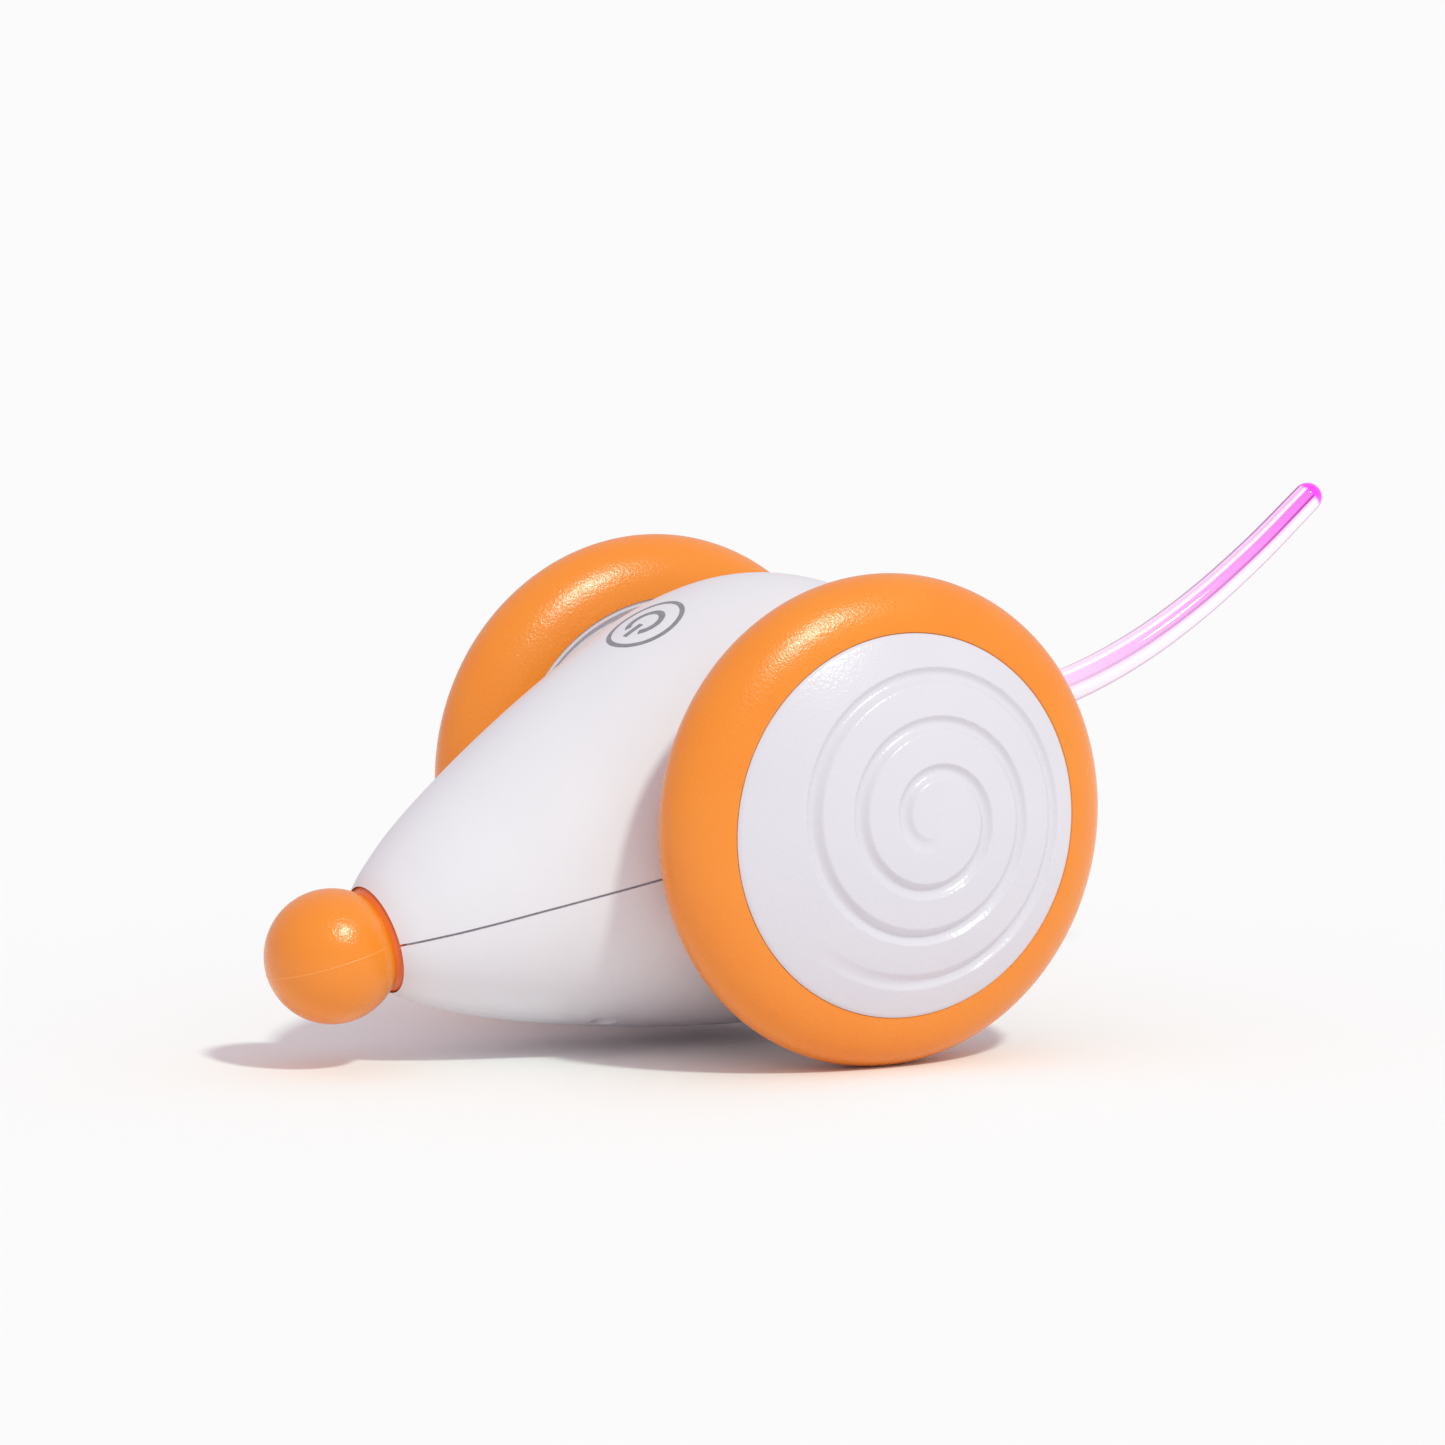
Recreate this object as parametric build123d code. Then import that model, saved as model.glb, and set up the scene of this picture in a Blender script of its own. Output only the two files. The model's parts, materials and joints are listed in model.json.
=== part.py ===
"""Electric two-wheeled mouse toy: a pitched teardrop body that hangs between two large soft-tyred wheels.

Units are millimetres.  The object stands on z = 0, +X points to the nose and +Y to the mouse's left.
The body is drawn in its own frame: x runs forward along the teardrop, y to the left and z up across the
parting plane, with the origin on the wheel axis.  `on_body` tips that frame nose-down onto the axle.
"""

import math
import os

from build123d import *

os.makedirs("parts", exist_ok=True)

# ---------------------------------------------------------------- driving dimensions
WHEEL_DIA = 68.0
TRACK = 66.8  # between the middle planes of the tyres
PITCH_DEG = 15.18  # nose-down tilt of the parting plane

# Body skin: a sphere behind the axle, then tangent arcs that run forward to the mouth.
REAR_R = 31.2
SKIN_ARCS = [(54.0, 15.5), (225.0, 24.0), (120.0, 28.4), (45.0, 40.9)]  # radius, slope at its front end
SIDE_FLAT = 25.8  # half width between the flats beside the wheels
WALL = 1.8
SEAM_GAP = 0.35
SEAM_DEPTH = 0.9
MOUTH_R = 7.75

# Nose
NOSE_R = 9.33
NOSE_S = 69.95
NECK_R = 7.0
NECK_BACK = 54.6
NOSE_FLANGE_R = 9.2
NOSE_FLANGE = 1.9
NOSE_CORE_R = 5.0
NOSE_CORE_REACH = 2.0  # past the middle of the ball
NOSE_WALL = 2.0
RIB = 1.5

# Tail, as places of its centre line in the body frame (x, z)
TAIL_LINE = [(-28.6, 0.0), (-42.0, -0.8), (-52.6, -1.1), (-64.0, 0.3), (-75.6, 3.3), (-87.4, 7.7), (-98.4, 12.7)]
TAIL_ROOT_R = 2.85
TAIL_TIP_R = 2.15
TAIL_SECTIONS = 15
TAIL_SOCKET = (-33.6, -24.0)
TAIL_KEY = (-30.0, -28.0)  # collar of the socket, held in a groove of the shells
TAIL_SLEEVE_R = 4.05
TAIL_KEY_R = 5.25
TAIL_COLLAR_R = 6.3
TAIL_LIP_R = 4.85
TAIL_LIP_GAP = 0.2  # between the socket's lip and the shell
TAIL_LIP_ROUND = 0.6
LED_R = 1.5
LED_X = (-27.0, -24.4)
LED_FLANGE_R = 1.9
LED_FLANGE = 0.8

# Wheels: u is the distance outboard of the tyre's middle plane
TYRE_HALF_WIDTH = 7.12
TYRE_HALF_DEPTH = 9.17
CAP_R = 26.39
CAP_RISE = 6.55
CAP_WALL = 1.6
CAP_EDGE_U = 7.12
CAP_SEAT_U = 5.6
CAP_BEVEL = 0.35
LIP_GAP = 0.06
DISC_R = 25.64
DISC_FACE_U = -6.73
DISC_WEB = 1.5
BARREL_R = 23.4
BARREL_WALL = 1.8
BARREL_END_U = 4.6
SKIRT_DEPTH = 3.2
SKIRT_WALL = 1.3
SKIRT_PLAY = 0.1
SPOKES = 6
SPOKE_HALF_W = 0.6
SPOKE_HEIGHT = 3.0
HUB_R = 4.2
HUB_END_U = 4.6

# Gear train: stub involute teeth
MODULE = 0.5
PRESSURE_DEG = 25.0
ADDENDUM = 0.8
DEDENDUM = 1.1
THINNING = 0.05  # taken off each tooth, at the pitch circle
FLANK_POINTS = 4
PINION_T = 9
FIRST_BIG_T = 30
FIRST_SMALL_T = 10
SECOND_BIG_T = 36
SECOND_SMALL_T = 12
OUTPUT_T = 36
OUTPUT_HUB_R = 2.3
SECOND_HUB_R = 2.0
FIRST_HUB_R = 1.6
OUTPUT_TO_SECOND_DEG = -80.0
SECOND_TO_FIRST_DEG = 161.6
FIRST_TO_MOTOR_DEG = 149.0
PLATE_Y = (12.4, 13.4)
LAYER_1_Y = (13.7, 15.1)
LAYER_2_Y = (15.4, 17.0)
LAYER_3_Y = (17.3, 19.4)
COVER_Y = (20.0, 21.2)
PILLARS = [(12.4, 2.0), (-10.5, 6.6), (13.9, -10.4)]
PILLAR_R = 1.9
PIN_R = 0.75
RUNNING = 0.05  # radial clearance of a turning shaft
END_FLOAT = 0.3  # clearance at the end of a turning piece
BUSH_PAD_R = 5.0
PIN_PAD_R = 4.0
PILLAR_PAD_R = 3.0
COVER_PILLAR_PAD_R = 2.6
COVER_PIN_PAD_R = 3.4
COVER_FIRST_PAD_R = 3.2
SHAFT_R = 1.5
SHAFT_IN_Y = 11.6
SHAFT_END_U = 4.4
SHAFT_TAP = 7.4
BUSH_R = 2.5
INNER_BUSH_Y = (11.2, 13.65)
OUTER_BUSH_Y = (19.6, 22.4)
SIDE_HOLE_R = 4.6
MOTOR_R = 6.0
MOTOR_FLAT = 5.0
MOTOR_Y = (1.2, 12.4)
MOTOR_SHAFT_R = 0.5
MOTOR_SHAFT_Y = (5.0, 15.4)
MOTOR_SCREW_REACH = 4.0
MOTOR_SCREW_BITE = 2.2
MOTOR_COLLAR_R = 1.5
MOTOR_RIM = 0.6

# Chassis, boards and battery (body frame)
DECK_Z = (4.2, 5.7)
DECK_X = (-14.0, 22.0)
DECK_WINDOW = ((-4.0, 14.0), (-7.0, 7.0))  # its x and y limits
ARM_HALF_W = 2.4
SHELL_PLAY = 0.15
CHEEK_Y = (11.2, 12.4)
CHEEK_X = (-10.6, 16.0)
CHEEK_BOTTOM = -12.2
BOARD_Z = (14.5, 15.7)
BOARD_X = (-15.0, 27.0)
BOARD_HALF_W = 13.0
BOARD_POSTS = [(-11.0, 9.5), (-11.0, -9.5), (23.0, 9.5), (23.0, -9.5)]
POST_R = 1.9
CHIPS = [  # x limits, y limits and height of what stands on the board
    ((-6.0, 1.0), (-3.5, 3.5), 1.0),
    ((17.0, 20.0), (-2.5, 2.5), 0.9),
    ((-2.0, 3.0), (7.0, 10.0), 1.3),
    ((3.0, 6.0), (-11.5, -6.5), 3.0),
]
BATTERY_X = (-8.0, 21.0)
BATTERY_HALF_W = 11.0
BATTERY_Z = (-19.4, -12.6)
BATTERY_ROUND = 1.5
TRAY_WALL = 1.0
SHELL_SCREWS = [(36.0, 8.0), (36.0, -8.0), (-26.0, 9.4), (-26.0, -9.4)]
BOSS_R = 2.6
CHANNEL_R = 1.8
SCREW_WEB_Z = 1.2
SCREW_R = 0.9
SCREW_PLAY = 0.1
SCREW_BITE = 5.0
# Screws, as shank radius, shank length, head radius and head height
SHELL_SCREW = (SCREW_R, 8.0, 1.6, 1.2)
BOARD_SCREW = (0.7, 5.5, 1.3, 0.9)
GEARBOX_SCREW = (SCREW_R, 5.8, 1.6, 1.0)
MOTOR_SCREW = (0.6, 2.8, 1.1, 0.7)
WHEEL_SCREW = (0.7, 5.0, 3.0, 1.2)
PORT_FACE_X = -27.3
PORT_Z = -12.4
PORT_PAD = (7.5, 3.9)  # half width and half height of the thick patch
PORT_RIM = 1.0  # of the patch, left round the recess
PORT_W = 9.4
PORT_H = 3.8
SOCKET_W = 8.94
SOCKET_H = 3.26
SOCKET_L = 7.3
SOCKET_BACK = 0.4  # behind the port's face
SOCKET_WALL = 0.3
TONGUE_HALF_W = 3.35
TONGUE_HALF_H = 0.35
CHARGE_BOARD_L = 8.8
CHARGE_BOARD_HALF_W = 5.2
CHARGE_BOARD_H = 1.0
TOUCH_X = 11.5
TOUCH_COIL_R = 2.6
TOUCH_WIRE_R = 0.25
TOUCH_TURNS = 7
TOUCH_DROP = 2.3  # fall of the shell's inside over the spring
BALLAST_X = (-16.2, -9.1)
BALLAST_Z = (-22.4, -9.0)
BALLAST_HALF_W = 9.4

# ---------------------------------------------------------------- derived places
PITCH = math.radians(PITCH_DEG)
AXLE_Z = WHEEL_DIA / 2
TYRE_CENTRE_R = AXLE_Z - TYRE_HALF_DEPTH
NOSE_REACH = NOSE_S * math.cos(PITCH) + NOSE_R
TAIL_END = TAIL_LINE[-1]
TAIL_REACH = -(TAIL_END[0] * math.cos(PITCH) + TAIL_END[1] * math.sin(PITCH)) + TAIL_TIP_R
AXLE_X = (TAIL_REACH - NOSE_REACH) / 2  # puts the middle of the whole length on x = 0
BODY = Plane(
    origin=(AXLE_X, 0, AXLE_Z),
    x_dir=(math.cos(PITCH), 0, -math.sin(PITCH)),
    z_dir=(math.sin(PITCH), 0, math.cos(PITCH)),
)
WHEEL_Y = TRACK / 2
BIG = 300.0


def on_body(shape):
    """Carries a shape from the body frame to its place."""
    return BODY.location * shape


def span_box(x, y, z):
    """Box between the two limits given for each axis."""
    size = [b - a for a, b in (x, y, z)]
    middle = [(a + b) / 2 for a, b in (x, y, z)]
    return Pos(*middle) * Box(*size)


def rod_y(radius, x, z, y):
    """Cylinder along Y at (x, z), between the two y limits."""
    return Pos(x, (y[0] + y[1]) / 2, z) * Rot(X=90) * Cylinder(radius, y[1] - y[0])


def rod_x(radius, y, z, x):
    """Cylinder along X at (y, z), between the two x limits."""
    return Pos((x[0] + x[1]) / 2, y, z) * Rot(Y=90) * Cylinder(radius, x[1] - x[0])


def rod_z(radius, x, y, z):
    """Cylinder along Z at (x, y), between the two z limits."""
    return Pos(x, y, (z[0] + z[1]) / 2) * Cylinder(radius, z[1] - z[0])


def group(shapes):
    """Several separate solids kept in one node."""
    return Compound(children=list(shapes))


def both_sides(shape):
    return [shape, mirror(shape, Plane.XZ)]


# ---------------------------------------------------------------- body shells
def skin_arcs(inset):
    """Start, middle and end point of each arc of the skin, moved inward by inset."""
    x, r, slope = 0.0, REAR_R - inset, 0.0
    arcs = []
    for radius, end_slope in SKIN_ARCS:
        radius -= inset
        start = math.radians(slope)
        points = []
        for degrees in (slope, (slope + end_slope) / 2, end_slope):
            turn = math.radians(degrees)
            along = radius * (math.sin(turn) - math.sin(start))
            points.append((x + along, r - radius * (math.cos(start) - math.cos(turn))))
        arcs.append(points)
        (x, r), slope = points[-1], end_slope
    return arcs


def teardrop(inset):
    """Solid teardrop, set in from the skin, with its side flats."""
    radius = REAR_R - inset
    outline = [CenterArc((0, 0), radius, 90, 90)]
    for points in skin_arcs(inset):
        outline.append(ThreePointArc(*points))
    end = skin_arcs(inset)[-1][-1]
    outline.append(Line(end, (end[0], 0)))
    outline.append(Line((end[0], 0), (-radius, 0)))
    solid = revolve(make_face(Wire(outline)), Axis.X, 360)
    return solid & Box(BIG, 2 * (SIDE_FLAT - inset), BIG)


def nose_ribs(hollow):
    """Two ring ribs that trap the flange of the nose."""
    flange_front = NECK_BACK + NOSE_FLANGE
    places = [(NECK_BACK - RIB, NECK_BACK), (flange_front, flange_front + RIB)]
    ribs = None
    for x in places:
        rib = hollow & span_box(x, (-BIG, BIG), (-BIG, BIG))
        ribs = rib if ribs is None else ribs + rib
    return ribs - rod_x(NECK_R + 0.1, 0, 0, (0, BIG))


def tail_collar(hollow):
    """Thick ring inside the rear pole that holds the tail socket."""
    return rod_x(TAIL_COLLAR_R, 0, 0, (-REAR_R, TAIL_KEY[1] + RIB)) & hollow


def port_pad(skin):
    """Thick flat patch of wall around the charging port."""
    half_w, half_h = PORT_PAD
    pad = span_box((-BIG, PORT_FACE_X + WALL), (-half_w, half_w), (PORT_Z - half_h, PORT_Z + half_h))
    return pad & skin


def screw_bosses(hollow, low, high):
    """Pillars for the shell screws between two heights."""
    bosses = None
    for x, y in SHELL_SCREWS:
        boss = rod_z(BOSS_R, x, y, (low, high)) & hollow
        bosses = boss if bosses is None else bosses + boss
    return bosses


def shells():
    skin = teardrop(0)
    middle = teardrop(SEAM_DEPTH)
    hollow = teardrop(WALL)
    case = skin - hollow + nose_ribs(hollow) + tail_collar(hollow)
    case -= rod_x(MOUTH_R, 0, 0, (NECK_BACK + NOSE_FLANGE + RIB, BIG))
    case -= rod_y(SIDE_HOLE_R, 0, 0, (-BIG, BIG))
    case -= rod_x(TAIL_SLEEVE_R, 0, 0, (-BIG, TAIL_SOCKET[1]))
    case -= rod_x(TAIL_KEY_R, 0, 0, TAIL_KEY)
    seam = (skin - middle) & span_box((-BIG, BIG), (-BIG, BIG), (0, SEAM_GAP))

    upper = case & span_box((-BIG, BIG), (-BIG, BIG), (0, BIG))
    upper -= seam
    upper += screw_bosses(hollow, DECK_Z[1], REAR_R)
    for x, y in SHELL_SCREWS:
        upper -= rod_z(SCREW_R, x, y, (DECK_Z[1] - 1, DECK_Z[1] + SCREW_BITE))

    lower = case & span_box((-BIG, BIG), (-BIG, BIG), (-BIG, 0))
    lower += screw_bosses(hollow, -REAR_R, DECK_Z[0])
    lower += port_pad(skin)
    for x, y in SHELL_SCREWS:
        lower -= rod_z(CHANNEL_R, x, y, (-BIG, SCREW_WEB_Z))
        lower -= rod_z(SCREW_R + SCREW_PLAY, x, y, (0, BIG))
    half_w, half_h = PORT_PAD
    half_w, half_h = half_w - PORT_RIM, half_h - PORT_RIM
    lower -= span_box((-BIG, PORT_FACE_X), (-half_w, half_w), (PORT_Z - half_h, PORT_Z + half_h))
    lower -= port_stadium(PORT_W, PORT_H, (-BIG, PORT_FACE_X + WALL + 1))
    return upper, lower


def port_stadium(width, height, x):
    """Round-ended slot along X at the charging port."""
    face = Plane(origin=(x[0], 0, PORT_Z), x_dir=(0, 1, 0), z_dir=(1, 0, 0)) * SlotOverall(width, height)
    return extrude(face, x[1] - x[0])


# ---------------------------------------------------------------- nose and tail
def nose_ball():
    ball = Pos(NOSE_S, 0, 0) * Sphere(NOSE_R)
    neck = rod_x(NECK_R, 0, 0, (NECK_BACK, NOSE_S))
    flange = rod_x(NOSE_FLANGE_R, 0, 0, (NECK_BACK, NECK_BACK + NOSE_FLANGE))
    hollow = Pos(NOSE_S, 0, 0) * Sphere(NOSE_R - NOSE_WALL)
    hollow += rod_x(NOSE_CORE_R, 0, 0, (0, NOSE_S + NOSE_CORE_REACH))
    return ball + neck + flange - hollow


def nose_core():
    """Stiff peg that fills the soft nose and carries a plate behind it."""
    peg = rod_x(NOSE_CORE_R, 0, 0, (NECK_BACK, NOSE_S + NOSE_CORE_REACH))
    plate = rod_x(NECK_R, 0, 0, (NECK_BACK - RIB, NECK_BACK))
    return peg + plate - rod_x(NOSE_CORE_R - WALL, 0, 0, (0, NOSE_S))


def tail():
    """Tapered clear tail, round-tipped, lofted along its curve."""
    line = Spline(*[(x, 0, z) for x, z in TAIL_LINE], tangents=[(-1, 0, 0), (-11.0, 0, 5.2)])
    rings = []
    for i in range(TAIL_SECTIONS):
        share = i / (TAIL_SECTIONS - 1)
        radius = TAIL_ROOT_R + share * (TAIL_TIP_R - TAIL_ROOT_R)
        plane = Plane(origin=line @ share, x_dir=(0, 1, 0), z_dir=line % share)
        rings.append(plane * Circle(radius))
    return loft(rings) + Pos(*(line @ 1)) * Sphere(TAIL_TIP_R)


def tail_socket():
    """Soft collar that the tail is pushed into, keyed into the rear of both shells."""
    sleeve = rod_x(TAIL_SLEEVE_R, 0, 0, TAIL_SOCKET)
    key = rod_x(TAIL_KEY_R, 0, 0, TAIL_KEY)
    lip = rod_x(TAIL_LIP_R, 0, 0, (TAIL_SOCKET[0], -REAR_R - TAIL_LIP_GAP))
    socket = sleeve + key + lip
    socket = fillet(socket.edges().group_by(Axis.X)[0], TAIL_LIP_ROUND)
    return socket - rod_x(TAIL_ROOT_R, 0, 0, (-BIG, BIG))


def tail_led():
    body = rod_x(LED_R, 0, 0, LED_X) + Pos(LED_X[0], 0, 0) * Sphere(LED_R)
    flange = rod_x(LED_FLANGE_R, 0, 0, (LED_X[1], LED_X[1] + LED_FLANGE))
    return body + flange


# ---------------------------------------------------------------- gears
def involute(angle):
    return math.tan(angle) - angle


def gear_face(teeth, phase_deg):
    """Outline of a spur gear, with the middle of one tooth at the phase angle."""
    pitch_r = MODULE * teeth / 2
    base_r = pitch_r * math.cos(math.radians(PRESSURE_DEG))
    tip_r = pitch_r + ADDENDUM * MODULE
    root_r = pitch_r - DEDENDUM * MODULE
    half_pitch = math.pi / (2 * teeth) - THINNING / (2 * pitch_r)
    full = half_pitch + involute(math.radians(PRESSURE_DEG))
    start_r = max(base_r, root_r)
    flank = [(root_r, full)] if root_r < base_r else []
    for i in range(FLANK_POINTS):
        r = start_r + (tip_r - start_r) * i / (FLANK_POINTS - 1)
        flank.append((r, full - involute(math.acos(min(1.0, base_r / r)))))
    points = []
    for tooth in range(teeth):
        middle = math.radians(phase_deg) + 2 * math.pi * tooth / teeth
        for r, half in flank:
            points.append((r * math.cos(middle - half), r * math.sin(middle - half)))
        for r, half in reversed(flank):
            points.append((r * math.cos(middle + half), r * math.sin(middle + half)))
    return make_face(Polyline(*points, close=True))


def gear(teeth, phase_deg, centre, y):
    """Gear with its axis along Y, between two y limits."""
    plane = Plane(origin=(centre[0], y[1], centre[1]), x_dir=(1, 0, 0), z_dir=(0, -1, 0))
    return extrude(plane * gear_face(teeth, phase_deg), y[1] - y[0])


def centre_distance(a, b):
    return MODULE * (a + b) / 2


def step_from(centre, distance, angle_deg):
    angle = math.radians(angle_deg)
    return (centre[0] + distance * math.cos(angle), centre[1] + distance * math.sin(angle))


def meshed_phase(teeth_a, phase_a, teeth_b, line_deg):
    """Phase of gear b that meshes with gear a, where line_deg points from a to b."""
    share = (line_deg - phase_a) * teeth_a / 360
    return line_deg + 180 - (0.5 - share) * 360 / teeth_b


OUTPUT_AT = (0.0, 0.0)
SECOND_AT = step_from(OUTPUT_AT, centre_distance(OUTPUT_T, SECOND_SMALL_T), OUTPUT_TO_SECOND_DEG)
FIRST_AT = step_from(SECOND_AT, centre_distance(SECOND_BIG_T, FIRST_SMALL_T), SECOND_TO_FIRST_DEG)
MOTOR_AT = step_from(FIRST_AT, centre_distance(FIRST_BIG_T, PINION_T), FIRST_TO_MOTOR_DEG)


def output_gear():
    phase = meshed_phase(SECOND_SMALL_T, 0, OUTPUT_T, OUTPUT_TO_SECOND_DEG + 180)
    wheel = gear(OUTPUT_T, phase, OUTPUT_AT, LAYER_3_Y)
    wheel += rod_y(OUTPUT_HUB_R, 0, 0, (LAYER_2_Y[0], LAYER_3_Y[1]))
    return wheel - rod_y(SHAFT_R, 0, 0, (0, BIG))


def second_gear():
    phase = meshed_phase(FIRST_SMALL_T, 0, SECOND_BIG_T, SECOND_TO_FIRST_DEG + 180)
    x, z = SECOND_AT
    wheel = gear(SECOND_BIG_T, phase, SECOND_AT, LAYER_2_Y)
    wheel += gear(SECOND_SMALL_T, 0, SECOND_AT, (LAYER_2_Y[1], LAYER_3_Y[1]))
    wheel += rod_y(SECOND_HUB_R, x, z, (LAYER_1_Y[0], LAYER_2_Y[0]))
    return wheel - rod_y(PIN_R + RUNNING, x, z, (0, BIG))


def first_gear():
    phase = meshed_phase(PINION_T, 0, FIRST_BIG_T, FIRST_TO_MOTOR_DEG + 180)
    x, z = FIRST_AT
    wheel = gear(FIRST_BIG_T, phase, FIRST_AT, LAYER_1_Y)
    wheel += gear(FIRST_SMALL_T, 0, FIRST_AT, (LAYER_1_Y[1], LAYER_2_Y[1]))
    wheel += rod_y(FIRST_HUB_R, x, z, (LAYER_2_Y[1], COVER_Y[0] - END_FLOAT))
    return wheel - rod_y(PIN_R + RUNNING, x, z, (0, BIG))


def motor_pinion():
    x, z = MOTOR_AT
    return gear(PINION_T, 0, MOTOR_AT, LAYER_1_Y) - rod_y(MOTOR_SHAFT_R, x, z, (0, BIG))


def motor_shaft():
    x, z = MOTOR_AT
    return rod_y(MOTOR_SHAFT_R, x, z, MOTOR_SHAFT_Y)


# ---------------------------------------------------------------- gearbox and motors
def hull_plate(circles, y):
    """Flat plate along Y whose outline wraps a set of circles (x, z, radius)."""
    edges = []
    for x, z, radius in circles:
        edges += (Pos(x, z) * Circle(radius)).edges()
    plane = Plane(origin=(0, y[1], 0), x_dir=(1, 0, 0), z_dir=(0, -1, 0))
    return extrude(plane * make_hull(edges), y[1] - y[0])


def gearbox_holes():
    """Seats for the bush and the two gear pins, through everything beside the body's middle."""
    holes = rod_y(BUSH_R, 0, 0, (0, BIG))
    for x, z in (FIRST_AT, SECOND_AT):
        holes += rod_y(PIN_R, x, z, (0, BIG))
    return holes


def motor_screw_places():
    along = math.radians(FIRST_TO_MOTOR_DEG + 90)
    for sign in (-1, 1):
        reach = sign * MOTOR_SCREW_REACH
        yield MOTOR_AT[0] + reach * math.cos(along), MOTOR_AT[1] + reach * math.sin(along)


def gearbox_plate():
    """Inner plate with the motor seat and the pillars that carry the cover."""
    circles = [(x, z, PILLAR_PAD_R) for x, z in PILLARS]
    circles += [(0, 0, BUSH_PAD_R), (*SECOND_AT, PIN_PAD_R), (*FIRST_AT, PIN_PAD_R)]
    circles.append((*MOTOR_AT, MOTOR_R + MOTOR_RIM))
    plate = hull_plate(circles, PLATE_Y)
    for x, z in PILLARS:
        plate += rod_y(PILLAR_R, x, z, (PLATE_Y[0], COVER_Y[0]))
    plate -= gearbox_holes()
    plate -= rod_y(MOTOR_COLLAR_R + 2 * RUNNING, *MOTOR_AT, (0, BIG))
    for x, z in PILLARS:
        plate -= rod_y(SCREW_R, x, z, (COVER_Y[0] - SCREW_BITE, BIG))
    for x, z in motor_screw_places():
        plate -= rod_y(MOTOR_SCREW[0], x, z, (0, BIG))
    return plate


def gearbox_cover():
    circles = [(x, z, COVER_PILLAR_PAD_R) for x, z in PILLARS]
    circles += [(0, 0, BUSH_PAD_R), (*SECOND_AT, COVER_PIN_PAD_R), (*FIRST_AT, COVER_FIRST_PAD_R)]
    cover = hull_plate(circles, COVER_Y) - gearbox_holes()
    for x, z in PILLARS:
        cover -= rod_y(SCREW_R + SCREW_PLAY, x, z, (0, BIG))
    return cover


def motor():
    """Round can with two flats, a front collar and a bore for its turning shaft."""
    x, z = MOTOR_AT
    can = rod_y(MOTOR_R, x, z, MOTOR_Y)
    can &= span_box((-BIG, BIG), (0, BIG), (z - MOTOR_FLAT, z + MOTOR_FLAT))
    can += rod_y(MOTOR_COLLAR_R, x, z, (MOTOR_Y[1], PLATE_Y[1]))
    can -= rod_y(MOTOR_SHAFT_R + RUNNING, x, z, (MOTOR_SHAFT_Y[0] - END_FLOAT, BIG))
    for sx, sz in motor_screw_places():
        can -= rod_y(MOTOR_SCREW[0], sx, sz, (MOTOR_Y[1] - MOTOR_SCREW_BITE, BIG))
    return can


def bushes():
    """Sleeve bearings of one wheel shaft."""
    sleeves = []
    for y in (INNER_BUSH_Y, OUTER_BUSH_Y):
        sleeves.append(rod_y(BUSH_R, 0, 0, y) - rod_y(SHAFT_R + RUNNING, 0, 0, (0, BIG)))
    return sleeves


def gear_pins():
    pins = []
    for x, z in (FIRST_AT, SECOND_AT):
        pins.append(rod_y(PIN_R, x, z, (PLATE_Y[0], COVER_Y[1])))
    return pins


def screw(radius, length, head_r, head_h):
    """Cross-head screw whose head sits on z = 0 and whose shank points down."""
    shape = rod_z(head_r, 0, 0, (0, head_h)) + rod_z(radius, 0, 0, (-length, 0))
    blade = span_box((-head_r * 0.7, head_r * 0.7), (-0.2, 0.2), (head_h * 0.4, head_h + 1))
    return shape - blade - Rot(Z=90) * blade


def screw_y(x, z, y, sizes):
    """Screw driven along -Y with the underside of its head at y."""
    return Pos(x, y, z) * Rot(X=-90) * screw(*sizes)


# ---------------------------------------------------------------- chassis, battery and electronics
def chassis():
    """Deck with two cheeks that carry the gearboxes, posts for the board and four screw arms."""
    frame = span_box(DECK_X, (-CHEEK_Y[1], CHEEK_Y[1]), DECK_Z)
    for x, y in SHELL_SCREWS:
        inner = DECK_X[1] - 2 if x > 0 else DECK_X[0] + 2
        frame += span_box((min(x, inner), max(x, inner)), (y - ARM_HALF_W, y + ARM_HALF_W), DECK_Z)
        frame += rod_z(ARM_HALF_W, x, y, DECK_Z)
    for side in (-1, 1):
        y = sorted((side * CHEEK_Y[0], side * CHEEK_Y[1]))
        frame += span_box(CHEEK_X, y, (CHEEK_BOTTOM, DECK_Z[1]))
    for x, y in BOARD_POSTS:
        frame += rod_z(POST_R, x, y, (DECK_Z[0], BOARD_Z[0]))
    frame -= span_box(*DECK_WINDOW, (DECK_Z[0] - 1, DECK_Z[1] + 1))
    frame -= rod_y(BUSH_R, 0, 0, (-BIG, BIG))
    for x, y in BOARD_POSTS:
        frame -= rod_z(BOARD_SCREW[0], x, y, (BOARD_Z[0] - SCREW_BITE, BOARD_Z[0] + 1))
    for x, y in SHELL_SCREWS:
        frame -= rod_z(SCREW_R + SCREW_PLAY, x, y, (0, BIG))
    return frame & teardrop(WALL + SHELL_PLAY)


def battery():
    """Pouch cell with rounded long edges."""
    cell = span_box(BATTERY_X, (-BATTERY_HALF_W, BATTERY_HALF_W), BATTERY_Z)
    return fillet(cell.edges().filter_by(Axis.X), BATTERY_ROUND)


def battery_tray():
    """Open tub around the cell, hung under the cheeks of the chassis."""
    outer = span_box(
        (BATTERY_X[0] - TRAY_WALL, BATTERY_X[1] + TRAY_WALL),
        (-BATTERY_HALF_W - TRAY_WALL, BATTERY_HALF_W + TRAY_WALL),
        (BATTERY_Z[0] - TRAY_WALL, CHEEK_BOTTOM),
    )
    return outer - span_box(BATTERY_X, (-BATTERY_HALF_W, BATTERY_HALF_W), (BATTERY_Z[0], 0))


def ballast():
    """Steel block behind the battery that keeps the body hanging level."""
    return span_box(BALLAST_X, (-BALLAST_HALF_W, BALLAST_HALF_W), BALLAST_Z)


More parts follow.
